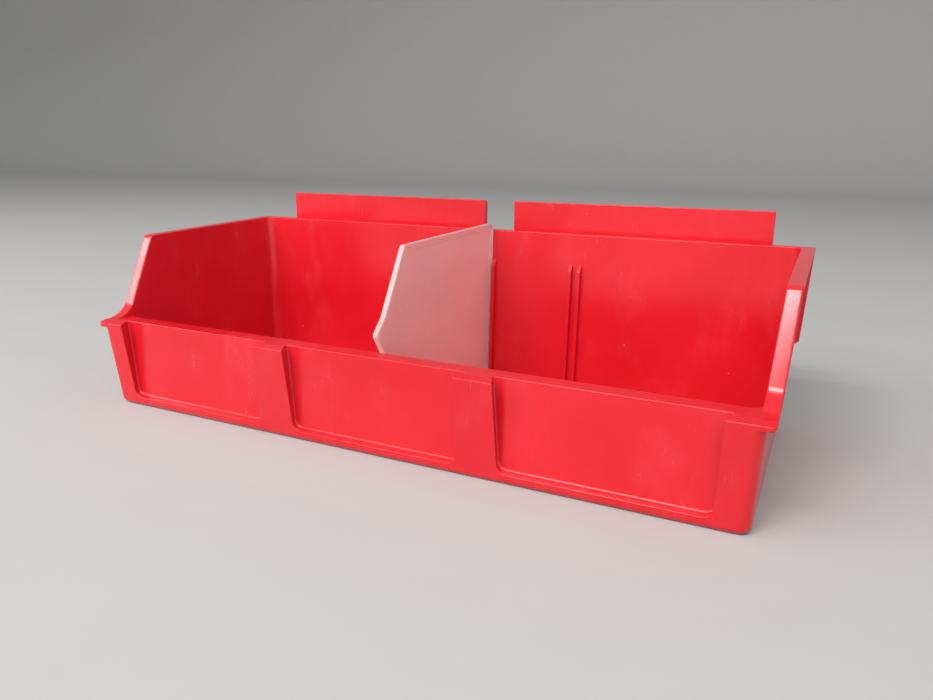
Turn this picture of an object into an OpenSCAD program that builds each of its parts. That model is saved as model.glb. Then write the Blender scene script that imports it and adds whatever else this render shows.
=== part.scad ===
// Hanging parts bin for a slatted tool wall, with one lift-out divider.
// +X runs across the bin, +Y into the wall and +Z up. The origin is on the wall's front plane, midway
// across the bin, at the lower edge of the groove that the bin hangs in. Sizes are in millimetres.
// Inside the modules, heights are counted up from the underside, and at_hang_line() shifts them.

/* [Bin shell] */
// Width across the side flanges
rim_w = 223; // [200:1:240]
// Height of the back rim above the underside
rim_h = 59.7; // [59:0.1:62]
// Thickness of the floor, sides and back
wall_t = 2; // [1.6:0.1:2.4]
// How far each side leans in between rim and underside
side_lean = 2.4; // [1.5:0.1:3]
// How far the back wall leans away from the wall plane at the underside
back_lean = 2.1; // [1:0.1:2.5]
// Radius of the upright front corners
corner_r = 3; // [2:0.5:4]
// Radius of the upright corners inside the bin
inside_r = 3; // [2:0.5:4]
// Radius of the edge between the walls and the underside
foot_r = 2; // [1:0.5:2.5]

/* [Open front] */
// Height of the front lip
lip_h = 30.2; // [29:0.2:34]
// Distance from the wall plane to the inner edge of the lip
lip_in = 80.3; // [79:0.1:81]
// Distance from the wall plane to the front of the lip
lip_out = 90.8; // [90:0.1:94]
// Distance from the wall plane to the foot of the front
foot_out = 88; // [87:0.1:89]
// Distance from the wall plane to the corner where a side's top edge turns down
brow_out = 66.8; // [60:0.2:68]
// Height of that corner
brow_h = 57.6; // [56:0.1:58]
// Angle of the edge below it, from the level
slant = 62.5; // [61:0.5:66]
// Radius of the scoop that runs that edge out into the lip
scoop_r = 10; // [6:0.5:10]

/* [Flanges] */
// How far a side flange stands out from the side
flange_w = 2; // [1:0.1:3]
// Thickness of a flange
flange_t = 1.4; // [1.2:0.1:2.5]
// Radius of the flanges' front corners
flange_r = 1.5; // [1:0.5:3]

/* [Label recesses] */
// Width of a recess along its back, at the lip
label_w = 62; // [56:0.2:63]
// Width of a recess along its back, at its foot
label_foot_w = 58.2; // [50:0.2:60]
// Distance between the middles of two recesses
label_pitch = 69.9; // [69:0.1:70]
// Distance from the wall plane to the back of a recess
label_back = 86.1; // [86:0.1:87]
// Height of the ledge below a recess, at its back
label_foot = 3.6; // [3:0.1:8]

/* [Divider slots] */
// Distance between two divider slots
slot_pitch = 33.7; // [25:0.1:36]
// Clear width of a slot
slot_w = 2; // [2:0.1:2.4]
// Thickness of a slot rib
rib_t = 1.4; // [1:0.1:2]
// How far a slot rib stands out
rib_out = 1.8; // [1:0.1:2.5]
// Height of the ribs on the back wall
rib_h = 48.7; // [30:0.1:50]

/* [Hang tongues] */
// Height of the groove's lower edge above the underside
hang_h = 53.5; // [52:0.1:54]
// Width of one tongue
tongue_w = 92.4; // [60:0.2:96]
// Gap between the two tongues
tongue_gap = 12; // [8:0.5:30]
// Distance from the wall plane to the front of the tongues
tongue_back = 4.5; // [4:0.1:6]
// Thickness of a tongue
tongue_t = 2; // [1.5:0.1:2.5]
// Height of the tongues' top above the underside
tongue_h = 70; // [66:0.5:74]

/* [Divider] */
// Thickness of the bead round the divider
bead_t = 1.8; // [1.4:0.1:1.8]
// Width of that bead
bead_w = 2; // [1.5:0.1:3]
// Thickness of the sheet inside the bead
sheet_t = 1.2; // [0.8:0.1:1.4]
// Height of the divider's top edge at the back
divider_h = 62.2; // [61:0.1:66]

/* [Hidden] */
$fn = 32;
thin = 0.01;                    // thickness of the slices that a hull joins
past = 10;                      // how far a cutting shape runs past what it cuts
bite = 1;                       // how far a rib or web runs into the wall that it joins
rim_half = rim_w / 2 - flange_w;
back_gap = 0.5;                 // the back wall's top edge, clear of the wall plane
back_r = 1.5;                   // upright back corners
inner_r = 1.5;                  // between the walls and the floor
nose_drop = 13;                 // slope of the lip's front, in degrees
nose_flat = 88;                 // where that slope starts, from the wall plane
lip_inner_lean = 1.2;           // the front wall's inner face leans this much between lip and floor
panel_r = 3;                    // lower corners of a label recess
dovetail = 0.39;                // a recess narrows by this much a side, per mm towards the front
ledge_drop = 0.15;              // its ledge falls by this much, per mm towards the front
web_top = 58.9;                 // top of the web that carries the tongues
web_t = 2;
gusset_t = 2;
gussets = 4;                    // under each tongue's web
step_slope = 1;                 // rise of the slanted stretches of the corner flanges
corner_step = [28, 22];         // heights where the back corner flanges step in
bearing_x = [0, 52, 96];        // back ribs that bear on the wall
bearing_w = [6, 2, 2];
core_h = 28;                    // cores run up inside the front wall from below
corner_core_w = 3.2;
fit_gap = 0.3;                  // between the divider's ends and the bin
floor_gap = 0.1;                // between the divider and the floor

// Position along a straight line from a at the underside to b at height full
function lean(a, b, h, full) = a + (b - a) * h / full;
function half_at(h) = lean(rim_half - side_lean, rim_half, h, rim_h);
function front_at(h) = -lean(foot_out, lip_out, h, lip_h);
function back_at(h) = -lean(back_lean + back_gap, back_gap, h, rim_h);
function inner_front_at(h) = -lean(lip_in - lip_inner_lean, lip_in, h, lip_h);

function unit(v) = v / norm(v);
function inward(a, b) = let (d = unit(b - a)) [-d.y, d.x];

// The corners of an anticlockwise outline, each moved inside it by d
function shrink(p, d) = [
    for (i = [0:len(p) - 1])
        let (
            before = inward(p[(i + len(p) - 1) % len(p)], p[i]),
            after = inward(p[i], p[(i + 1) % len(p)])
        )
        p[i] + d * (before + after) / (1 + before * after)
];

// Radii for the moved corners: outside corners are positive, inside corners negative
function shrink_radii(radii, d) = [for (r = radii) r > 0 ? max(r - d, 0) : r < 0 ? r - d : 0];

// Points of an arc that rounds corner b between a and c
function arc(a, b, c, r, steps = 8) =
    let (
        u = unit(a - b),
        v = unit(c - b),
        half = acos(u * v) / 2,
        centre = b + unit(u + v) * r / sin(half),
        from = b + u * r / tan(half) - centre,
        to = b + v * r / tan(half) - centre,
        start = atan2(from.y, from.x),
        turn = (atan2(to.y, to.x) - start + 540) % 360 - 180
    )
    [for (i = [0:steps]) centre + r * [cos(start + turn * i / steps), sin(start + turn * i / steps)]];

function rounded(p, radii) = [
    for (i = [0:len(p) - 1])
        let (a = p[(i + len(p) - 1) % len(p)], b = p[i], c = p[(i + 1) % len(p)])
        each (radii[i] == 0 ? [b] : arc(a, b, c, abs(radii[i])))
];

// The bin seen from its +X side, as [distance along Y, height]; only its top edge matters
side_top = [
    [past, -past],
    [past, rim_h + (rim_h - brow_h) * past / brow_out],
    [-brow_out, brow_h],
    [-brow_out - (brow_h - lip_h) / tan(slant), lip_h],
    [-nose_flat, lip_h],
    [-nose_flat - 2 * past, lip_h - 2 * past * tan(nose_drop)],
    [-nose_flat - 2 * past, -past]
];
side_radii = [0, 0, 2, -scoop_r, 1.5, 0, 0];

module at_hang_line() translate([0, 0, -hang_h]) children();

// Stands an outline given as [Y, height] upright and spreads it from x = from to x = to
module across(from, to) translate([from, 0, 0]) rotate([90, 0, 90]) linear_extrude(to - from) children();

module both_sides() {
    children();
    mirror([1, 0, 0]) children();
}

// One thin rounded slice of a tray, h above the underside
module slice(h, half, front, back, front_r, rear_r)
    translate([0, 0, h]) linear_extrude(thin) for (side = [-1, 1]) {
        translate([side * (half - front_r), front + front_r]) circle(front_r);
        translate([side * (half - rear_r), back - rear_r]) circle(rear_r);
    }

// The bin's outside, drafted and with a rounded foot; extra widens it for the flanges
module outside(extra = 0, front_r = corner_r) hull() {
    for (a = [0:22.5:90]) {
        h = foot_r * (1 - cos(a));
        inset = foot_r * (1 - sin(a));
        slice(h, half_at(h) + extra - inset, front_at(h) + inset, back_at(h) - inset, front_r, back_r);
    }
    slice(rim_h + 1, half_at(rim_h + 1) + extra, front_at(rim_h + 1), back_at(rim_h + 1), front_r, back_r);
}

module inside() hull() {
    for (a = [0:22.5:90]) {
        h = wall_t + inner_r * (1 - cos(a));
        inset = wall_t + inner_r * (1 - sin(a));
        front = inner_front_at(h) + inset - wall_t;
        slice(h, half_at(h) - inset, front, back_at(h) - inset, inside_r, inside_r);
    }
    top = rim_h + past;
    slice(top, half_at(top) - wall_t, inner_front_at(top), back_at(top) - wall_t, inside_r, inside_r);
}

// Opens the front above the lip, between the sides
module mouth() {
    half = half_at(lip_h) - wall_t;
    translate([-half, -lip_out - past, lip_h]) cube([2 * half, lip_out + past - lip_in + inside_r, rim_h]);
}

module walls() difference() {
    intersection() {
        outside();
        across(-rim_w, rim_w) polygon(rounded(side_top, side_radii));
    }
    inside();
    mouth();
}

// A flange along each side's top edge and round the front corners
module side_flanges() difference() {
    intersection() {
        outside(flange_w, flange_r);
        across(-rim_w, rim_w) difference() {
            polygon(rounded(side_top, side_radii));
            polygon(rounded(shrink(side_top, flange_t), shrink_radii(side_radii, flange_t)));
        }
    }
    inside();
    mouth();
}

// Back rim, stepped corner flanges and the ribs whose backs lie on the wall plane
module back_frame() {
    rim_in = back_at(rim_h) - wall_t;
    translate([-rim_w / 2, rim_in, rim_h - flange_t]) cube([rim_w, -rim_in, flange_t]);
    both_sides() {
        rotate([90, 0, 0]) linear_extrude(flange_t) polygon([
            [half_at(corner_step[1]) - wall_t, corner_step[1]],
            [half_at(corner_step[1]) + flange_w / 3, corner_step[1] + step_slope],
            [half_at(corner_step[0]) + flange_w / 3, corner_step[0]],
            [half_at(corner_step[0]) + flange_w, corner_step[0] + step_slope],
            [half_at(rim_h) + flange_w, rim_h],
            [half_at(rim_h) - wall_t, rim_h]
        ]);
        for (i = [0:len(bearing_x) - 1])
            across(bearing_x[i] - bearing_w[i] / 2, bearing_x[i] + bearing_w[i] / 2) polygon([
                [back_at(0) - bite, foot_r],
                [0, foot_r + step_slope],
                [0, rim_h - thin],
                [back_at(rim_h) - bite, rim_h - thin]
            ]);
    }
}

// Two tongues, each on a web with gussets that bear on the groove's lower edge
module hang_tongues() both_sides() {
    inner = tongue_gap / 2;
    outer = inner + tongue_w;
    back = tongue_back + tongue_t;
    across(inner, outer) polygon([
        [-bite, web_top - web_t],
        [back, web_top - web_t],
        [back, tongue_h - tongue_t / 2],
        [back - tongue_t / 2, tongue_h],
        [tongue_back, tongue_h],
        [tongue_back, web_top],
        [-bite, web_top]
    ]);
    for (i = [0:gussets - 1]) {
        x = inner + (tongue_w - gusset_t) * i / (gussets - 1);
        across(x, x + gusset_t) polygon([
            [-bite, hang_h],
            [tongue_back - gusset_t / 2, hang_h],
            [back, web_top - web_t],
            [-bite, web_top - web_t]
        ]);
    }
}

// Pairs of ribs that hold a divider, on the back wall and inside the front wall
module divider_ribs() for (slot = [-1:1], side = [-1, 1]) {
    x = slot * slot_pitch + side * (slot_w + rib_t) / 2;
    wall_foot = back_at(0) - wall_t;
    wall_top = back_at(rib_h) - wall_t;
    across(x - rib_t / 2, x + rib_t / 2) {
        polygon([
            [wall_foot + bite, wall_t - bite],
            [wall_top + bite, rib_h],
            [wall_top - rib_out / 3, rib_h],
            [wall_top - rib_out, rib_h - rib_out],
            [wall_foot - rib_out, wall_t - bite]
        ]);
        polygon([
            [inner_front_at(0) - bite, wall_t - bite],
            [inner_front_at(0) + rib_out, wall_t - bite],
            [inner_front_at(lip_h) + rib_out, lip_h - 2 * rib_out],
            [inner_front_at(lip_h) - bite, lip_h - rib_out]
        ]);
    }
}

// One recess seen from the front, at the distance y from the wall plane; it is open at the top
module recess_outline(y) {
    narrower = dovetail * (y - label_back);
    foot = label_foot - ledge_drop * (y - label_back);
    foot_half = label_foot_w / 2 - narrower;
    top_half = lean(label_foot_w, label_w, lip_h + past - label_foot, lip_h - label_foot) / 2 - narrower;
    polygon(rounded(
        [[-foot_half, foot], [foot_half, foot], [top_half, lip_h + past], [-top_half, lip_h + past]],
        [panel_r, panel_r, 0, 0]
    ));
}

// Three recesses with upright backs, wider behind than in front, so that a card can't fall forwards
module label_recesses() for (i = [-1:1]) translate([i * label_pitch, 0, 0]) hull()
    for (y = [label_back, lip_out + 1])
        translate([0, -y, 0]) rotate([90, 0, 0]) linear_extrude(thin) recess_outline(y);

// Hollows the front wall from below: a channel behind the recesses, and a core in each of the four pads
module front_cores() {
    channel_half = half_at(0) - 2 * wall_t;
    channel_back = lip_in + wall_t;
    channel_front = label_back - wall_t;
    pad_w = label_pitch - label_w;
    corner_pad = label_pitch + label_w / 2;
    depth = foot_out - wall_t - channel_back;
    translate([-channel_half, -channel_front, -past])
        cube([2 * channel_half, channel_front - channel_back, core_h + past]);
    both_sides() {
        translate([label_pitch / 2 - pad_w / 2 + wall_t, wall_t - foot_out, -past])
            cube([pad_w - 2 * wall_t, depth, core_h - wall_t + past]);
        translate([corner_pad + wall_t, wall_t - foot_out, -past])
            cube([corner_core_w, depth, core_h - wall_t + past]);
    }
}

module bin_body() color("crimson") at_hang_line() difference() {
    union() {
        walls();
        side_flanges();
        back_frame();
        hang_tongues();
        divider_ribs();
    }
    label_recesses();
    front_cores();
}

// The divider seen from its +X side: foot, back, top, slanted front, nose over the lip
divider_outline = [
    [inner_front_at(wall_t) + fit_gap + inner_r, wall_t + floor_gap],
    [back_at(wall_t) - wall_t - fit_gap - inner_r, wall_t + floor_gap],
    [back_at(wall_t) - wall_t - fit_gap, wall_t + floor_gap + inner_r],
    [back_at(rim_h) - wall_t - fit_gap, divider_h],
    [-67.5, divider_h - 1.4],
    [-79.2, 40.6],
    [-83.9, 36],
    [inner_front_at(lip_h) + fit_gap, lip_h + floor_gap],
    [inner_front_at(wall_t) + fit_gap, wall_t + floor_gap + inner_r]
];
divider_radii = [0, 0, 0, 2.5, 1, -6, 1.8, 0, 0];

module divider() color([0.93, 0.92, 0.91, 0.6]) at_hang_line() difference() {
    across(-bead_t / 2, bead_t / 2) polygon(rounded(divider_outline, divider_radii));
    both_sides() across(sheet_t / 2, bead_t)
        polygon(rounded(shrink(divider_outline, bead_w), shrink_radii(divider_radii, bead_w)));
}

bin_body();
divider();
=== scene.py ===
# %% [markdown]
# # A hanging parts bin, with one frosted divider
# The real thing is a wide, open-fronted bin in glossy red polypropylene. Two tongues behind its rim hook
# into a groove of a slatted wall. Three label recesses run along its front, and a loose frosted plate
# stands across the middle. The lesson builds the two mouldings as solids, rounds their edges as a mould
# does, and then gives each its plastic. The first cell loads the imported CAD model, which says where
# everything is. Its box is kept, because the sizes below are read from it.

# %% Load the frame
import math

import bmesh
import bpy
from mathutils import Matrix, Vector
from mathutils.geometry import intersect_point_line


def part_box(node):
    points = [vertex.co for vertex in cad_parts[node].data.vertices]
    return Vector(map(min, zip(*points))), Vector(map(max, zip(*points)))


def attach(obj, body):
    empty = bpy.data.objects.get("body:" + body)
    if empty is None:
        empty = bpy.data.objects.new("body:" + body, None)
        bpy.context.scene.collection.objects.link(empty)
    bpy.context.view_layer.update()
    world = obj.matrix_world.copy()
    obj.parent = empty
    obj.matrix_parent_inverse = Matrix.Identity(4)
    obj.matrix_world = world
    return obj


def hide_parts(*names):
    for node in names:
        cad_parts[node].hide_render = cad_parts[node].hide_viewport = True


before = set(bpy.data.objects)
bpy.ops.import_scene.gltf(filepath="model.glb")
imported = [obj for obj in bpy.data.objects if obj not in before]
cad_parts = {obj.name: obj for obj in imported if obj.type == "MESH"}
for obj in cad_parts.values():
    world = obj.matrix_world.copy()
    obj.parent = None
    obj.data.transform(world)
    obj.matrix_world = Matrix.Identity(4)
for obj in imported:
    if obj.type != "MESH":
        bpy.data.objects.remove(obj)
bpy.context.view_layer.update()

MM = 0.001
bin_lo, bin_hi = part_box("bin_body")
divider_lo, divider_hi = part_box("divider")
print("bin box", tuple(round(v / MM, 1) for v in bin_hi - bin_lo), "mm")
print("divider box", tuple(round(v / MM, 1) for v in divider_hi - divider_lo), "mm")

# %% [markdown]
# ## Sizes
# A toolmaker draws a bin like this from its underside, so every size here is in millimetres, and every
# height is counted up from the underside. The overall width, the lip's distance from the wall and the
# heights of the hang line and the tongues come from the frame. The rest are the mould's own sizes. The
# sloping nose takes `nose_cut` off the lip, so the frame's box is that much short of it. `past` is how far
# a cutter reaches beyond what it cuts, and `spare` is the little extra that one solid gives another to be
# cut or joined.

# %% Sizes of the bin
past, spare = 10.0, 1.0
hang_to_rim, nose_cut = 6.2, 0.1
rim_w = (bin_hi.x - bin_lo.x) / MM
hang_h = -bin_lo.z / MM
tongue_h = (bin_hi.z - bin_lo.z) / MM
lip_out = -bin_lo.y / MM + nose_cut
rim_h = hang_h + hang_to_rim
wall_t = 2.0
flange_w, flange_t = 2.0, 1.4
rim_half = rim_w / 2 - flange_w
side_lean, inner_front_lean = 2.4, 1.2
back_lean, back_gap = 2.1, 0.5
lip_h, lip_in, foot_out = 30.2, 80.3, 88.0
corner_r, back_r, foot_r = 3.0, 1.5, 2.0
inside_r, inner_r, flange_r = 3.0, 1.5, 1.5
print("rim", round(rim_w, 1), "by", round(lip_out, 1), "mm, hang line at", round(hang_h, 1), "mm")


# %% [markdown]
# Every wall of a moulding leans a little, so that it slides out of its mould. These small functions say
# where each wall is at a given height, in a straight line between its foot and its top.

# %% Where the leaning walls are
def lean(at_foot, at_top, h, full):
    return at_foot + (at_top - at_foot) * h / full


def half_at(h):
    return lean(rim_half - side_lean, rim_half, h, rim_h)


def front_at(h):
    return -lean(foot_out, lip_out, h, lip_h)


def back_at(h):
    return -lean(back_lean + back_gap, back_gap, h, rim_h)


def inner_front_at(h):
    return -lean(lip_in - inner_front_lean, lip_in, h, lip_h)


print("half width", round(half_at(rim_h), 1), "mm at the rim and", round(half_at(0), 1), "mm at the foot")


# %% [markdown]
# ## From outlines to solids
# A loft joins a row of rings that all have the same number of points, and closes both ends. A prism is a
# loft of two rings. That is all the modelling that these parts need, because every shape on them is
# either a tray with leaning walls or an outline pulled straight. The rings are in millimetres, and the
# helper turns them into metres in the frame. Normals are worked out anew on each closed solid.

# %% Loft and prisms
def loft(rings):
    mesh = bmesh.new()
    rows = []
    for ring in rings:
        rows.append([mesh.verts.new((x * MM, y * MM, (h - hang_h) * MM)) for x, y, h in ring])
    for low, high in zip(rows, rows[1:]):
        for i in range(len(low)):
            j = (i + 1) % len(low)
            mesh.faces.new((low[i], low[j], high[j], high[i]))
    mesh.faces.new(rows[0][::-1])
    mesh.faces.new(rows[-1])
    bmesh.ops.recalc_face_normals(mesh, faces=mesh.faces)
    return mesh


def solid(name, mesh):
    data = bpy.data.meshes.new(name)
    mesh.to_mesh(data)
    mesh.free()
    made = bpy.data.objects.new(name, data)
    bpy.context.scene.collection.objects.link(made)
    return made


def across(name, outline, x0, x1):
    """Pulls an outline of (y, height) points from x0 to x1."""
    return solid(name, loft([[(x, y, h) for y, h in outline] for x in (x0, x1)]))


def deep(name, outline, y0, y1):
    """Pulls an outline of (x, height) points from y0 to y1."""
    return solid(name, loft([[(x, y, h) for x, h in outline] for y in (y0, y1)]))


# %% [markdown]
# Outlines are drawn with sharp corners and then rounded, as on a drawing board: each corner has a radius,
# and an arc touches both of its sides. `shrink` moves every side of an outline inwards by a wall's
# thickness. A corner that bends inwards has a negative radius, which grows when the outline shrinks.

# %% Rounded outlines
STEP = math.radians(7)


def arc(a, b, c, r):
    a, b, c = Vector(a), Vector(b), Vector(c)
    u, v = (a - b).normalized(), (c - b).normalized()
    half = u.angle(v) / 2
    centre = b + (u + v).normalized() * r / math.sin(half)
    start = b + u * r / math.tan(half) - centre
    end = b + v * r / math.tan(half) - centre
    from_angle = math.atan2(start.y, start.x)
    turn = (math.atan2(end.y, end.x) - from_angle + 3 * math.pi) % (2 * math.pi) - math.pi
    steps = max(2, math.ceil(abs(turn) / STEP))
    angles = [from_angle + turn * i / steps for i in range(steps + 1)]
    return [(centre.x + r * math.cos(t), centre.y + r * math.sin(t)) for t in angles]


def rounded(points, radii):
    made = []
    for i, (point, r) in enumerate(zip(points, radii)):
        after = points[(i + 1) % len(points)]
        made += arc(points[i - 1], point, after, abs(r)) if r else [tuple(point)]
    return made


def shrink(points, radii, d):
    """Moves an anticlockwise outline inwards by d, and its radii with it."""
    moved = []
    for i, point in enumerate(points):
        p, before, after = Vector(point), Vector(points[i - 1]), Vector(points[(i + 1) % len(points)])
        first, second = (p - before).normalized(), (after - p).normalized()
        n1, n2 = Vector((-first.y, first.x)), Vector((-second.y, second.x))
        moved.append(tuple(p + d * (n1 + n2) / (1 + n1.dot(n2))))
    return moved, [max(r - d, 0) if r > 0 else r - d if r < 0 else 0 for r in radii]


# %% [markdown]
# Solids are cut and joined with the Boolean modifier. Its manifold solver is quick and always gives a
# closed result. The modifier is applied at once by taking a new mesh from the evaluated object, so what is
# left is a plain mesh and the tools can go.

# %% Cut and join
def plain(piece):
    """Makes a piece's mesh what its modifiers show, and removes them."""
    graph = bpy.context.evaluated_depsgraph_get()
    data = bpy.data.meshes.new_from_object(piece.evaluated_get(graph))
    piece.modifiers.clear()
    old = piece.data
    piece.data = data
    bpy.data.meshes.remove(old)
    return piece


def combine(base, how, *tools):
    for tool in tools:
        step = base.modifiers.new(how, "BOOLEAN")
        step.operation, step.solver, step.object = how, "MANIFOLD", tool
        plain(base)
        bpy.data.objects.remove(tool)
    return base


# %% [markdown]
# ## The tray
# The outside is a loft of rounded rectangles: small ones near the underside make the rounded foot, and one
# above the rim takes the draft up. The inside is the same idea, smaller by the walls. `extra` widens the
# outside for the flanges.

# %% Outside and inside of the tray
def ring(h, half, front, back, front_r, rear_r, steps=12):
    corners = [(half, front, front_r, -90), (half, back, rear_r, 0),
               (-half, back, rear_r, 90), (-half, front, front_r, 180)]
    points = []
    for x, y, r, start in corners:
        cx = x - math.copysign(r, x)
        cy = y + r if y == front else y - r
        for i in range(steps + 1):
            t = math.radians(start + 90 * i / steps)
            points.append((cx + r * math.cos(t), cy + r * math.sin(t), h))
    return points


def foot_steps(r, steps=9):
    """Heights and insets of a rounded foot, as (rise, inset)."""
    angles = [math.radians(90 * i / steps) for i in range(steps + 1)]
    return [(r * (1 - math.cos(a)), r * (1 - math.sin(a))) for a in angles]


def outside(extra=0.0, front_r=corner_r):
    rings = []
    for h, inset in foot_steps(foot_r):
        half, front, back = half_at(h) + extra - inset, front_at(h) + inset, back_at(h) - inset
        rings.append(ring(h, half, front, back, front_r, back_r))
    h = rim_h + spare
    rings.append(ring(h, half_at(h) + extra, front_at(h), back_at(h), front_r, back_r))
    return solid("outside", loft(rings))


def inside():
    rings = []
    for rise, inset in foot_steps(inner_r):
        h = wall_t + rise
        half, back = half_at(h) - wall_t - inset, back_at(h) - wall_t - inset
        rings.append(ring(h, half, inner_front_at(h) + inset, back, inside_r, inside_r))
    h = rim_h + past
    rings.append(ring(h, half_at(h) - wall_t, inner_front_at(h), back_at(h) - wall_t, inside_r, inside_r))
    return solid("inside", loft(rings))


# %% [markdown]
# Seen from the side, one line gives the bin its character: a rim that falls a little, a rounded brow, a
# steep slant, a scoop that runs out into the lip, and a short nose that falls away in front. The flange is
# the part of a wider tray that lies above the same line moved down by the flange's thickness.

# %% The side's top line, the flanges and the mouth
brow_out, brow_h, slant = 66.8, 57.6, math.radians(62.5)
nose_flat, nose_drop = 88.0, math.radians(13)
side_top = [
    (past, -past),
    (past, rim_h + (rim_h - brow_h) * past / brow_out),
    (-brow_out, brow_h),
    (-brow_out - (brow_h - lip_h) / math.tan(slant), lip_h),
    (-nose_flat, lip_h),
    (-nose_flat - 2 * past, lip_h - 2 * past * math.tan(nose_drop)),
    (-nose_flat - 2 * past, -past),
]
side_radii = [0, 0, 2, -10, 2, 0, 0]


def side_line(name, d=0.0):
    """Everything below the side's top line, moved down by d."""
    points, radii = shrink(side_top, side_radii, d)
    return across(name, rounded(points, radii), -rim_w, rim_w)


def mouth():
    """Opens the front above the lip, between the sides."""
    rings = []
    for h in (lip_h, rim_h + past):
        half = half_at(h) - wall_t
        y0, y1 = -lip_out - past, -lip_in + inside_r
        rings.append([(-half, y0, h), (half, y0, h), (half, y1, h), (-half, y1, h)])
    return solid("mouth", loft(rings))


flanges = combine(outside(flange_w, flange_r), "DIFFERENCE", side_line("below_flange", flange_t))
print("flanges have", len(flanges.data.polygons), "faces")


# %% [markdown]
# The back of the rim carries a strip that runs right across, and the strip turns down at each back corner
# in two steps. Their backs lie in the wall plane, so they keep the bin upright against the wall.

# %% The back frame
corner_step, step_rise, step_w, strip_deep = (28.0, 22.0), 1.0, flange_w / 3, 2.5


def back_frame():
    strip = deep("strip", [(-rim_w / 2, rim_h - flange_t), (rim_w / 2, rim_h - flange_t),
                           (rim_w / 2, rim_h + spare), (-rim_w / 2, rim_h + spare)], -strip_deep, 0)
    parts = [strip]
    for side in (-1, 1):
        high, low = corner_step
        outline = [
            (half_at(low) - wall_t, low),
            (half_at(low) + step_w, low + step_rise),
            (half_at(high) + step_w, high),
            (half_at(high) + flange_w, high + step_rise),
            (half_at(rim_h) + flange_w, rim_h - spare),
            (half_at(rim_h) - wall_t, rim_h - spare),
        ]
        parts.append(deep("corner_flange", [(side * x, h) for x, h in outline], -flange_t, 0))
    return combine(parts[0], "UNION", *parts[1:])


tray = combine(outside(), "UNION", flanges, back_frame())
tray = combine(tray, "INTERSECT", side_line("top_line"))
tray = combine(tray, "DIFFERENCE", inside(), mouth())
print("tray has", len(tray.data.polygons), "faces")


# %% [markdown]
# ## Rounded edges
# No moulding has a knife edge, and on a glossy one every edge shows as a thin bright line. So each outer
# edge gets a small real radius. Edges that bend outwards by more than 25 degrees are given a bevel weight,
# and the Bevel modifier rounds just those. The weight is a share of the modifier's width, so one modifier
# can give the slanting tops of the side flanges, which hands slide over, a softer radius than the rest. It
# fades in with the slope, so that it has no sudden end. Where a side's edge runs out into the lip there is
# no room for a radius, so it has none. Each solid is rounded before it is joined to the others, because
# simple solids round cleanly.

# %% Round the outer edges
edge_r, fine_r, soft_r = 0.4, 0.3, 0.8
# the soft radius is full where an edge climbs by this share of its length
full_slope = 0.85
# heights above the lip, and a distance in from the side, between which an edge runs out into the lip
lip_run, lip_side = (0.01, 1.2), 1.0
# how near counts as on the line, how near two points are one, and how flat two faces are one
touching, weld, flat_deg = 0.05, 0.004, 0.3
side_curve = [Vector(point) for point in rounded(side_top, side_radii)]


def steepness(edge):
    """How steep an edge is, from 0 to 1, if it runs along the slanting top of a side; otherwise 0."""
    a, b = (vert.co / MM for vert in edge.verts)
    middle = (a + b) / 2
    spot = Vector((middle.y, middle.z + hang_h))
    if abs(middle.x) < half_at(0) - wall_t or abs(a.x - b.x) > (a - b).length / 3:
        return 0.0
    for start, end in zip(side_curve, side_curve[1:]):
        nearest, share = intersect_point_line(spot, start, end)
        if 0 <= share <= 1 and (nearest.xy - spot).length < touching and spot.y > lip_h:
            return abs(a.z - b.z) / (a - b).length
    return 0.0


def round_edges(piece, radius, soft_radius=0.0, limit_deg=25, segments=3):
    mesh = bmesh.new()
    mesh.from_mesh(piece.data)
    bmesh.ops.remove_doubles(mesh, verts=mesh.verts, dist=weld * MM)
    bmesh.ops.dissolve_limit(mesh, angle_limit=math.radians(flat_deg), verts=mesh.verts, edges=mesh.edges)
    weight = mesh.edges.layers.float.new("bevel_weight_edge")
    widest = max(radius, soft_radius)
    rounds, soft = 0, 0
    for edge in mesh.edges:
        above_lip = max(vert.co.z for vert in edge.verts) / MM + hang_h - lip_h
        between_sides = abs(edge.verts[0].co.x / MM) < half_at(lip_h) - lip_side
        runs_into_lip = between_sides and lip_run[0] < above_lip < lip_run[1]
        if runs_into_lip or len(edge.link_faces) != 2:
            continue
        if edge.calc_face_angle_signed() > math.radians(limit_deg):
            slope = steepness(edge) if soft_radius > 0 else 0.0
            edge[weight] = (radius + (widest - radius) * min(slope / full_slope, 1)) / widest
            rounds, soft = rounds + 1, soft + (slope > 0.1)
    mesh.to_mesh(piece.data)
    mesh.free()
    bevel = piece.modifiers.new("edge_radius", "BEVEL")
    bevel.limit_method, bevel.width, bevel.segments = "WEIGHT", widest * MM, segments
    bevel.use_clamp_overlap = False
    bevel.offset_type, bevel.loop_slide = "WIDTH", False
    print(piece.name, "has", rounds, "rounded edges, and", soft, "of them are softer")
    return plain(piece)


def smooth(piece):
    """Shades a finished piece. Weighting the normals by face area keeps the flat walls looking flat."""
    piece.data.shade_smooth()
    piece.data.set_sharp_from_angle(angle=math.radians(35))
    weighted = piece.modifiers.new("weighted", "WEIGHTED_NORMAL")
    weighted.keep_sharp = True
    return plain(piece)


# %% [markdown]
# ## Ribs, gussets and everything else that repeats
# The bin's small features come in rows: two gussets here, a pair of ribs there, three label recesses. One
# Geometry Nodes tree makes them all. It lays a row of points for the groups, lays a shorter row of copies
# on each of those points, and puts the solid that it is given on every point. The inputs are the numbers
# that a toolmaker would write on the drawing: how many groups, how many copies in each, and how far apart.
# The tree ends by making the copies real, because an export drops instances, and by giving them their
# plastic.

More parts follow.
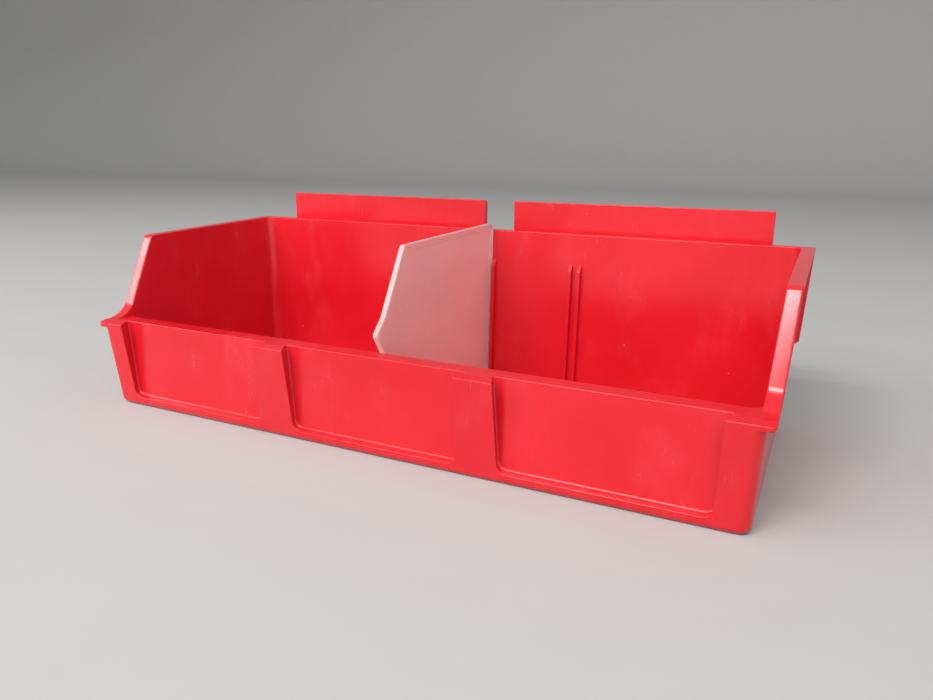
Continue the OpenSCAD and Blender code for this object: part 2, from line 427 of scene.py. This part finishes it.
# %% One function that adds a node
def add(tree, kind, inputs=None, **settings):
    """Adds a node with its settings. An input is a value, or the output of another node to link to it."""
    made = tree.nodes.new(kind)
    for name, value in settings.items():
        setattr(made, name, value)
    for socket, value in (inputs or {}).items():
        if isinstance(value, bpy.types.NodeSocket):
            tree.links.new(value, made.inputs[socket])
        else:
            made.inputs[socket].default_value = value
    return made


# %% The tree that makes rows of copies
def centred_line(tree, count, pitch):
    """A row of points along X, with its middle at the origin."""
    gaps = add(tree, "ShaderNodeMath", {0: count, 1: 1}, operation="SUBTRACT")
    start = add(tree, "ShaderNodeMath", {0: gaps.outputs[0], 1: -0.5}, operation="MULTIPLY")
    first = add(tree, "ShaderNodeMath", {0: start.outputs[0], 1: pitch}, operation="MULTIPLY")
    at = add(tree, "ShaderNodeCombineXYZ", {"X": first.outputs[0]})
    step = add(tree, "ShaderNodeCombineXYZ", {"X": pitch})
    sizes = {"Count": count, "Start Location": at.outputs[0], "Offset": step.outputs[0]}
    return add(tree, "GeometryNodeMeshLine", sizes, mode="OFFSET").outputs[0]


def row_tree():
    tree = bpy.data.node_groups.new("row_of_copies", "GeometryNodeTree")
    inputs = [("Solid", "Geometry"), ("Groups", "Int"), ("Group pitch", "Float"),
              ("Copies", "Int"), ("Copy pitch", "Float"), ("Plastic", "Material")]
    for name, kind in inputs:
        tree.interface.new_socket(name, in_out="INPUT", socket_type="NodeSocket" + kind)
    tree.interface.new_socket("Row", in_out="OUTPUT", socket_type="NodeSocketGeometry")
    given = add(tree, "NodeGroupInput").outputs
    groups = centred_line(tree, given["Groups"], given["Group pitch"])
    copies = centred_line(tree, given["Copies"], given["Copy pitch"])
    nested = add(tree, "GeometryNodeInstanceOnPoints", {"Points": groups, "Instance": copies})
    points = add(tree, "GeometryNodeRealizeInstances", {0: nested.outputs[0]})
    placed = add(tree, "GeometryNodeInstanceOnPoints",
                 {"Points": points.outputs[0], "Instance": given["Solid"]})
    real = add(tree, "GeometryNodeRealizeInstances", {0: placed.outputs[0]})
    painted = add(tree, "GeometryNodeSetMaterial", {0: real.outputs[0], "Material": given["Plastic"]})
    add(tree, "NodeGroupOutput", {0: painted.outputs[0]})
    return tree


ROWS = row_tree()
red = bpy.data.materials.new("polypropylene_red_moulded_gloss")
print("row tree has", len(ROWS.nodes), "nodes")


# %% Fill in a row
def row(piece, groups, group_pitch, copies=1, copy_pitch=0.0):
    """Repeats a solid along X. Each input is set by its identifier before the row is first made."""
    steps = piece.modifiers.new("row", "NODES")
    steps.node_group = ROWS
    values = {"Groups": groups, "Group pitch": group_pitch * MM,
              "Copies": copies, "Copy pitch": copy_pitch * MM, "Plastic": red}
    for item in ROWS.interface.items_tree:
        if item.name in values:
            steps[item.identifier] = values[item.name]
    return plain(piece)


# %% [markdown]
# Dividers drop into slots between pairs of ribs. On the back wall each rib is about four fifths as tall as
# the wall and its head slopes back into it, and inside the front wall there is a short rib to match.

# %% Divider ribs
slot_pitch, slot_w = 33.7, 2.0
rib_t, rib_out, rib_h = 1.4, 1.8, 48.7
bite, head_rise, head_step, head_slope = 1.0, 0.4, 0.2, 1.3
rib_foot, rib_head = back_at(0) - wall_t, back_at(rib_h) - wall_t
back_rib = across("back_ribs", [
    (rib_foot + bite, wall_t - bite),
    (rib_head + bite, rib_h + head_rise),
    (rib_head - head_step, rib_h),
    (rib_head - rib_out, rib_h - rib_out * head_slope),
    (rib_foot - rib_out, wall_t - bite),
], -rib_t / 2, rib_t / 2)
front_rib = across("front_ribs", [
    (inner_front_at(0) - bite, wall_t - bite),
    (inner_front_at(0) + rib_out, wall_t - bite),
    (inner_front_at(lip_h) + rib_out, lip_h - 2 * rib_out),
    (inner_front_at(lip_h) - bite, lip_h - rib_out),
], -rib_t / 2, rib_t / 2)
for ribs in (back_rib, front_rib):
    row(round_edges(ribs, fine_r), 3, slot_pitch, 2, slot_w + rib_t)
print("six ribs at the back and six in front, in pairs", slot_pitch, "mm apart")

# %% [markdown]
# The bin hangs by two long tongues. Each stands on a web that runs back from the rim through the wall's
# groove, and four gussets under the web bear on the groove's lower edge. Five more ribs down the back of
# the bin bear on the wall itself.

# %% Tongues, gussets and bearing ribs
tongue_w, tongue_gap, tongue_back, tongue_t = 92.4, 12.0, 4.5, 2.0
web_top, web_t, web_root = 58.9, 2.0, -1.2
gusset_t, gussets, gusset_in, gusset_up, gusset_trim = 2.0, 4, 0.3, 0.5, 0.05
tongue_far = tongue_back + tongue_t
tongue_pitch = tongue_w + tongue_gap
gusset_pitch = (tongue_w - gusset_t) / (gussets - 1) - gusset_trim
tongue = across("tongues", [
    (web_root, web_top - web_t),
    (tongue_far, web_top - web_t),
    (tongue_far, tongue_h - tongue_t / 2),
    (tongue_far - tongue_t / 2, tongue_h),
    (tongue_back, tongue_h),
    (tongue_back, web_top),
    (web_root, web_top),
], -tongue_w / 2, tongue_w / 2)
gusset = across("gussets", [
    (web_root, hang_h),
    (tongue_back - spare, hang_h),
    (tongue_far - gusset_in, web_top - web_t + gusset_up),
    (web_root, web_top - web_t + gusset_up),
], -gusset_t / 2, gusset_t / 2)
row(round_edges(tongue, edge_r), 2, tongue_pitch)
row(round_edges(gusset, fine_r), 2, tongue_pitch, gussets, gusset_pitch)
middle_rib_w, side_rib_w, side_rib_span, side_rib_pitch = 6.0, 2.0, 148, 44


def bearing_rib(w):
    outline = [
        (back_at(0) - bite, foot_r),
        (0, foot_r + spare),
        (0, rim_h - spare),
        (back_at(rim_h) - bite, rim_h - spare),
    ]
    return round_edges(across("bearing_rib", outline, -w / 2, w / 2), fine_r)


bearing = [bearing_rib(middle_rib_w), row(bearing_rib(side_rib_w), 2, side_rib_span, 2, side_rib_pitch)]
print("tongues reach", tongue_far, "mm behind the wall plane")

# %% [markdown]
# The front holds three label recesses. Each has an upright back and is wider there than in front, like a
# dovetail, so that a card slides down behind two pads and can't fall forwards. The front face leans, so a
# recess is deepest at the lip. Its cutter is a loft of outlines seen from the front. The last few draw in,
# which leaves a fillet round the back of the recess.

# %% Label recesses
label_w, label_foot_w, label_pitch, label_back, label_foot = 62.0, 58.2, 69.9, 86.1, 3.6
dovetail, ledge_drop, panel_r, fillet = 0.39, 0.15, 3.0, 0.8


def recess_ring(y, inset=0.0):
    """A recess seen from the front, at the distance y from the wall plane."""
    ahead = y - label_back
    foot = label_foot - ledge_drop * ahead + inset
    top = lip_h + past
    foot_half = label_foot_w / 2 - dovetail * ahead - inset
    top_half = lean(label_foot_w, label_w, top - foot, lip_h - foot) / 2 - dovetail * ahead - inset
    corners = [(-foot_half, foot), (foot_half, foot), (top_half, top), (-top_half, top)]
    return [(x, -y, h) for x, h in rounded(corners, [panel_r, panel_r, 0, 0])]


cutter_rings = [recess_ring(lip_out + spare)]
for rise, inset in reversed(foot_steps(fillet, 6)):
    cutter_rings.append(recess_ring(label_back + rise, inset))
recesses = row(solid("recesses", loft(cutter_rings)), 3, label_pitch)
print("three recesses,", round(lip_out - label_back, 1), "mm deep at the lip")

# %% [markdown]
# Thick plastic shrinks and dents as it cools, so the front wall is hollowed from below: a long channel
# behind the recesses, and a wider core in each of the four pads. They show only when the bin is turned
# over.

# %% Cores inside the front wall
core_top, corner_core = 28.0, 3.2
channel_back, channel_front = -lip_in - wall_t, -label_back + wall_t
pad_w, corner_pad = label_pitch - label_w, label_pitch + label_w / 2


def core(w, front, top):
    outline = [(front, -past), (channel_back, -past), (channel_back, top), (front, top)]
    return across("cores", outline, -w / 2, w / 2)


pad_front, pad_top = -foot_out + wall_t, core_top - wall_t
corner_pitch = 2 * (corner_pad + wall_t) + corner_core
cores = [core(2 * half_at(0) - 4 * wall_t, channel_front, core_top),
         row(core(pad_w - 2 * wall_t, pad_front, pad_top), 2, label_pitch),
         row(core(corner_core, pad_front, pad_top), 2, corner_pitch)]
print("channel", round(channel_back - channel_front, 1), "mm wide under the lip")

# %% Join it all into one moulding
moulding = round_edges(combine(tray, "DIFFERENCE", recesses), edge_r, soft_r)
moulding = combine(moulding, "UNION", back_rib, front_rib, tongue, gusset, *bearing)
moulding = smooth(combine(moulding, "DIFFERENCE", *cores))
moulding.name = "bin_moulding"
print("the moulding has", len(moulding.data.polygons), "faces")

# %% [markdown]
# ## The divider
# The plate has a thicker bead round it, as thin mouldings do: it stiffens the edge and it is where the two
# halves of the mould meet. Its outline follows the inside of the bin, and its front has a nose that reaches
# over the lip. Two shallow pockets thin the middle from either side.

# %% Divider plate
bead_t, bead_w, sheet_t = divider_hi.x / MM - divider_lo.x / MM, 2.0, 1.2
divider_h = divider_hi.z / MM + hang_h
gap, floor_gap = 0.3, 0.1
plate_brow, brow_drop = 67.5, 1.4
slant_foot, slant_foot_h = 79.2, 40.6
plate_nose, plate_nose_h = 83.9, 36.0
plate_line = [
    (inner_front_at(wall_t) + gap + inner_r, wall_t + floor_gap),
    (back_at(wall_t) - wall_t - gap - inner_r, wall_t + floor_gap),
    (back_at(wall_t) - wall_t - gap, wall_t + floor_gap + inner_r),
    (back_at(rim_h) - wall_t - gap, divider_h),
    (-plate_brow, divider_h - brow_drop),
    (-slant_foot, slant_foot_h),
    (-plate_nose, plate_nose_h),
    (inner_front_at(lip_h) + gap, lip_h + floor_gap),
    (inner_front_at(wall_t) + gap, wall_t + floor_gap + inner_r),
]
plate_radii = [0, 0, 0, 2.5, 1, -6, 1.8, 0, 0]


def plate(name, d, x0, x1):
    points, radii = shrink(plate_line, plate_radii, d)
    return across(name, rounded(points, radii), x0, x1)


divider_plate = plate("divider_plate", 0, -bead_t / 2, bead_t / 2)
pockets = [plate("pocket", bead_w, side * sheet_t / 2, side * bead_t) for side in (-1, 1)]
combine(divider_plate, "DIFFERENCE", *pockets)
smooth(round_edges(divider_plate, fine_r))
print("divider is", round(bead_t, 2), "mm thick at its bead and", sheet_t, "mm inside it")

# %% Put each piece under its body, and hide the CAD part that it replaces
for piece, body, node_name, slot in ((moulding, "bin", "bin_body", "bin_red"),
                                     (divider_plate, "divider", "divider", "divider_frost")):
    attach(piece, body)
    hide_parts(node_name)

# %% [markdown]
# ## Plastics
# Colours are easiest to pick as sRGB hex values, and Blender wants linear numbers, so one function turns
# them. The second helper looks up a pattern's scale from its real size: a texture repeats about once per
# unit, so a pattern of so many millimetres needs one over that size in metres.

# %% Colour and scale helpers
def srgb(text):
    parts = [int(text[i:i + 2], 16) / 255 for i in (1, 3, 5)]
    return [c / 12.92 if c <= 0.04045 else ((c + 0.055) / 1.055) ** 2.4 for c in parts] + [1.0]


def per(mm):
    return 1 / (mm * MM)


def fresh(material):
    """Empties a material and gives it a shader. Returns its tree, the shader and object coordinates."""
    material.use_nodes = True
    tree = material.node_tree
    tree.nodes.clear()
    shader = add(tree, "ShaderNodeBsdfPrincipled")
    add(tree, "ShaderNodeOutputMaterial", {"Surface": shader.outputs[0]})
    return tree, shader, add(tree, "ShaderNodeTexCoord").outputs["Object"]


# %% [markdown]
# The bin is polypropylene, coloured through and moulded in a polished steel mould. The polish gives it a
# gloss with a soft orange-peel ripple, because the plastic shrinks a little as it sets. Handling leaves
# its own marks: dull clouds where it has been wiped, hair scratches, and a few specks of dust. Each kind
# of mark is a mask from 0 to 1, drawn at its real size. A Map Range node stretches the useful part of a
# texture to that range.

# %% Marks of handling
def wiped_clouds(tree, place):
    """Dull clouds about 9 mm across, drawn out in height."""
    drawn = add(tree, "ShaderNodeMapping", {"Vector": place, "Scale": (1.0, 1.0, 0.45)})
    cloud = add(tree, "ShaderNodeTexNoise",
                {"Vector": drawn.outputs[0], "Scale": per(9), "Detail": 6.0, "Roughness": 0.62})
    mask = add(tree, "ShaderNodeMapRange", {"Value": cloud.outputs[0], "From Min": 0.52, "From Max": 0.80})
    return mask.outputs[0]


def hair_scratches(tree, place):
    """Noise squeezed to 0.3 mm across a slanting line, and kept to a few patches."""
    slanted = add(tree, "ShaderNodeMapping", {"Vector": place, "Rotation": (0.5, 0.55, 0.2),
                                              "Scale": (per(0.3), per(9), per(9))})
    hair = add(tree, "ShaderNodeTexNoise", {"Vector": slanted.outputs[0], "Scale": 1.0, "Detail": 1.0})
    lines = add(tree, "ShaderNodeMapRange", {"Value": hair.outputs[0], "From Min": 0.755, "From Max": 0.785})
    patch = add(tree, "ShaderNodeTexNoise", {"Vector": place, "Scale": per(28), "Detail": 2.0})
    where = add(tree, "ShaderNodeMapRange", {"Value": patch.outputs[0], "From Min": 0.52, "From Max": 0.66})
    mask = add(tree, "ShaderNodeMath", {0: lines.outputs[0], 1: where.outputs[0]}, operation="MULTIPLY")
    return mask.outputs[0]


def dust_grains(tree, place):
    """One grain of about 0.2 mm in a few of the 6 mm cells."""
    cells = add(tree, "ShaderNodeTexVoronoi", {"Vector": place, "Scale": per(6)})
    grain = add(tree, "ShaderNodeMapRange",
                {"Value": cells.outputs["Distance"], "From Min": 0.026, "From Max": 0.018})
    pick = add(tree, "ShaderNodeSeparateColor", {0: cells.outputs["Color"]})
    few = add(tree, "ShaderNodeMapRange", {"Value": pick.outputs[0], "From Min": 0.72, "From Max": 0.76})
    mask = add(tree, "ShaderNodeMath", {0: grain.outputs[0], 1: few.outputs[0]}, operation="MULTIPLY")
    return mask.outputs[0]


# %% Red polypropylene, gloss moulded
POLYPROPYLENE_IOR = 1.49


def red_polypropylene(material):
    tree, shader, place = fresh(material)
    shader.inputs["IOR"].default_value = POLYPROPYLENE_IOR
    clouds, scratches, dust = wiped_clouds(tree, place), hair_scratches(tree, place), dust_grains(tree, place)
    # flow of the melt: a slow change of tone, about 40 mm across
    flow = add(tree, "ShaderNodeTexNoise", {"Vector": place, "Scale": per(40), "Detail": 3.0})
    slow = add(tree, "ShaderNodeMapRange", {"Value": flow.outputs[0], "From Min": 0.35, "From Max": 0.65})
    tone = add(tree, "ShaderNodeMix", {0: slow.outputs[0], 6: srgb("#c8141f"), 7: srgb("#d01c29")},
               data_type="RGBA").outputs[2]
    # each mark lies over the colour, as strongly as its share says
    marks = [(clouds, 0.10, "#ea6a72"), (scratches, 0.14, "#ff9a9a"), (dust, 1.0, "#f4cfc8")]
    for mark, share, colour in marks:
        shown = add(tree, "ShaderNodeMath", {0: mark, 1: share}, operation="MULTIPLY")
        tone = add(tree, "ShaderNodeMix", {0: shown.outputs[0], 6: tone, 7: srgb(colour)},
                   data_type="RGBA").outputs[2]
    tree.links.new(tone, shader.inputs["Base Color"])
    # the polish is dulled by the clouds, the scratches and the dust
    gloss = add(tree, "ShaderNodeMapRange", {"Value": clouds, "To Min": 0.21, "To Max": 0.33})
    duller = add(tree, "ShaderNodeMath", {0: scratches, 1: dust}, operation="MAXIMUM")
    rough = add(tree, "ShaderNodeMath", {0: duller.outputs[0], 1: 0.25, 2: gloss.outputs[0]},
                operation="MULTIPLY_ADD")
    tree.links.new(rough.outputs[0], shader.inputs["Roughness"])
    # orange peel: ripples 3 mm across and a few thousandths of a millimetre high
    peel = add(tree, "ShaderNodeTexNoise", {"Vector": place, "Scale": per(3), "Detail": 1.0})
    ripple = add(tree, "ShaderNodeBump", {"Height": peel.outputs[0], "Strength": 0.25, "Distance": 0.05 * MM})
    scored = add(tree, "ShaderNodeBump", {"Height": duller.outputs[0], "Normal": ripple.outputs[0],
                                          "Strength": 0.2, "Distance": 0.02 * MM})
    tree.links.new(scored.outputs[0], shader.inputs["Normal"])


red_polypropylene(red)
print("red polypropylene has", len(red.node_tree.nodes), "nodes")

# %% [markdown]
# The divider is the same plastic with no colour in it. It is milky rather than clear, because its crystals
# scatter light, and its faces are spark-eroded in the mould, which gives a fine matt grain. What shows
# behind it is a soft pink. The rounded bead catches more light than the flat sheet and so looks whiter
# already. Its version of the same recipe therefore lets a little more light through.

# %% Natural polypropylene, frosted
def frosted_polypropylene(name, clear):
    material = bpy.data.materials.new(name)
    tree, shader, place = fresh(material)
    shader.inputs["IOR"].default_value = POLYPROPYLENE_IOR
    shader.inputs["Transmission Weight"].default_value = clear
    # milk: a slow change of tone, about 22 mm across
    milk = add(tree, "ShaderNodeTexNoise", {"Vector": place, "Scale": per(22), "Detail": 4.0})
    slow = add(tree, "ShaderNodeMapRange", {"Value": milk.outputs[0], "From Min": 0.3, "From Max": 0.7})
    tone = add(tree, "ShaderNodeMix", {0: slow.outputs[0], 6: srgb("#f8ebe8"), 7: srgb("#fff5f2")},
               data_type="RGBA").outputs[2]
    # wear: whiter and rougher patches, about 5 mm across
    rub = add(tree, "ShaderNodeTexNoise", {"Vector": place, "Scale": per(5), "Detail": 5.0})
    worn = add(tree, "ShaderNodeMapRange", {"Value": rub.outputs[0], "From Min": 0.58, "From Max": 0.8})
    tone = add(tree, "ShaderNodeMix", {0: worn.outputs[0], 6: tone, 7: srgb("#ffffff")},
               data_type="RGBA").outputs[2]
    tree.links.new(tone, shader.inputs["Base Color"])
    rough = add(tree, "ShaderNodeMapRange", {"Value": worn.outputs[0], "To Min": 0.38, "To Max": 0.50})
    tree.links.new(rough.outputs[0], shader.inputs["Roughness"])
    # spark-eroded grain, drawn at 0.5 mm where the real one is nearer 0.1 mm and wouldn't show
    grit = add(tree, "ShaderNodeTexNoise", {"Vector": place, "Scale": per(0.5), "Detail": 2.0})
    bump = add(tree, "ShaderNodeBump", {"Height": grit.outputs[0], "Strength": 0.35, "Distance": 0.02 * MM})
    tree.links.new(bump.outputs[0], shader.inputs["Normal"])
    return material


frost = frosted_polypropylene("polypropylene_natural_frosted", 0.66)
frost_bead = frosted_polypropylene("polypropylene_natural_bead", 0.74)
print("frosted polypropylene has", len(frost.node_tree.nodes), "nodes")


# %% [markdown]
# Each piece now gets its plastic. The divider's faces are shared between its two materials by thickness:
# a face inside the pocket takes the sheet's, and all the others take the bead's.

# %% Give each piece its plastic
moulding.data.materials.clear()
moulding.data.materials.append(red)
divider_plate.data.materials.clear()
for finish in (frost_bead, frost):
    divider_plate.data.materials.append(finish)
for face in divider_plate.data.polygons:
    sideways = abs(face.normal.x) > 0.9
    inside_pocket = sideways and abs(face.center.x) < (sheet_t / 2 + 0.01) * MM
    face.material_index = 1 if inside_pocket else 0
print(sum(f.material_index for f in divider_plate.data.polygons), "faces belong to the sheet")


# %% [markdown]
# ## The studio
# The bin stands on a plain sheet of pale paper that bends up far behind it, so the camera sees no horizon.
# The camera stands to the right of the bin and a little above it. The paper is part of the stage, not of
# the object.

# %% Paper sweep
def sweep():
    floor_z, front, reach, bend, top, wide, steps = bin_lo.z, -3.0, 1.5, 0.6, 3.5, 7.0, 16
    profile = [(front, floor_z), (reach, floor_z)]
    for i in range(1, steps + 1):
        t = math.pi / 2 * i / steps
        profile.append((reach + bend * math.sin(t), floor_z + bend * (1 - math.cos(t))))
    profile.append((reach + bend, floor_z + top))
    mesh = bmesh.new()
    rows = [[mesh.verts.new((x, y, h)) for y, h in profile] for x in (-wide, wide)]
    for i in range(len(profile) - 1):
        mesh.faces.new((rows[0][i], rows[1][i], rows[1][i + 1], rows[0][i + 1]))
    made = solid("paper_sweep", mesh)
    made.data.shade_smooth()
    return made


def studio_paper():
    """Matt paper, with a fibre that is only just uneven."""
    material = bpy.data.materials.new("studio_paper_matt")
    tree, shader, place = fresh(material)
    fibre = add(tree, "ShaderNodeTexNoise", {"Vector": place, "Scale": per(30), "Detail": 4.0})
    tone = add(tree, "ShaderNodeMix", {0: fibre.outputs[0], 6: srgb("#aeacaa"), 7: srgb("#b2b0ae")},
               data_type="RGBA")
    tree.links.new(tone.outputs[2], shader.inputs["Base Color"])
    shader.inputs["Roughness"].default_value = 0.9
    return material


paper = sweep()
paper.data.materials.append(studio_paper())

# %% Camera
eye = Vector((0.1162, -0.2582, bin_lo.z + 0.0885))
azimuth, elevation, roll = (math.radians(a) for a in (26.32, 15.18, 0.43))
look = Vector((-math.sin(azimuth) * math.cos(elevation), math.cos(azimuth) * math.cos(elevation),
               -math.sin(elevation)))
camera = bpy.data.objects.new("camera", bpy.data.cameras.new("camera"))
camera.data.lens, camera.data.sensor_width, camera.data.clip_start = 28.4, 36, 0.01
camera.location = eye
turned = look.to_track_quat("-Z", "Y").to_matrix() @ Matrix.Rotation(roll, 3, "Z")
camera.rotation_euler = turned.to_euler()
bpy.context.scene.collection.objects.link(camera)
bpy.context.scene.camera = camera
print("camera is", round((eye - (bin_lo + bin_hi) / 2).length, 3), "m from the middle of the bin")


# %% [markdown]
# Gloss shows what it reflects, so the lights are chosen for their shapes. A wide softbox in front lights
# the faces. A long narrow strip above it puts a highlight on the rounded edges and on the slanting flange
# on the right, and a small box on the left does the same for the other flange. A low fill from the right
# lights the side of the divider that the camera sees. The air of the room is a plain pale grey.

# %% Lights
def softbox(name, at, wide, tall, power):
    light = bpy.data.objects.new(name, bpy.data.lights.new(name, "AREA"))
    light.data.shape, light.data.size, light.data.size_y = "RECTANGLE", wide, tall
    light.data.energy = power
    light.location = at
    light.rotation_euler = (-Vector(at)).to_track_quat("-Z", "Y").to_euler()
    light.visible_camera = False
    bpy.context.scene.collection.objects.link(light)


softbox("front_softbox", (-0.45, -1.0, 0.75), wide=0.9, tall=0.7, power=8.2)
softbox("strip", (0.10, -1.08, 1.12), wide=1.3, tall=0.13, power=19)
softbox("left_box", (-1.02, -0.66, 0.54), wide=0.22, tall=0.30, power=3)
softbox("low_fill", (1.2, -0.9, 0.2), wide=1.3, tall=0.9, power=3.5)
air = bpy.data.worlds.new("studio_air")
air.use_nodes = True
background = air.node_tree.nodes["Background"]
background.inputs["Color"].default_value = srgb("#e2e4e6")
background.inputs["Strength"].default_value = 0.68
bpy.context.scene.world = air
bpy.context.scene.view_settings.view_transform = "Standard"
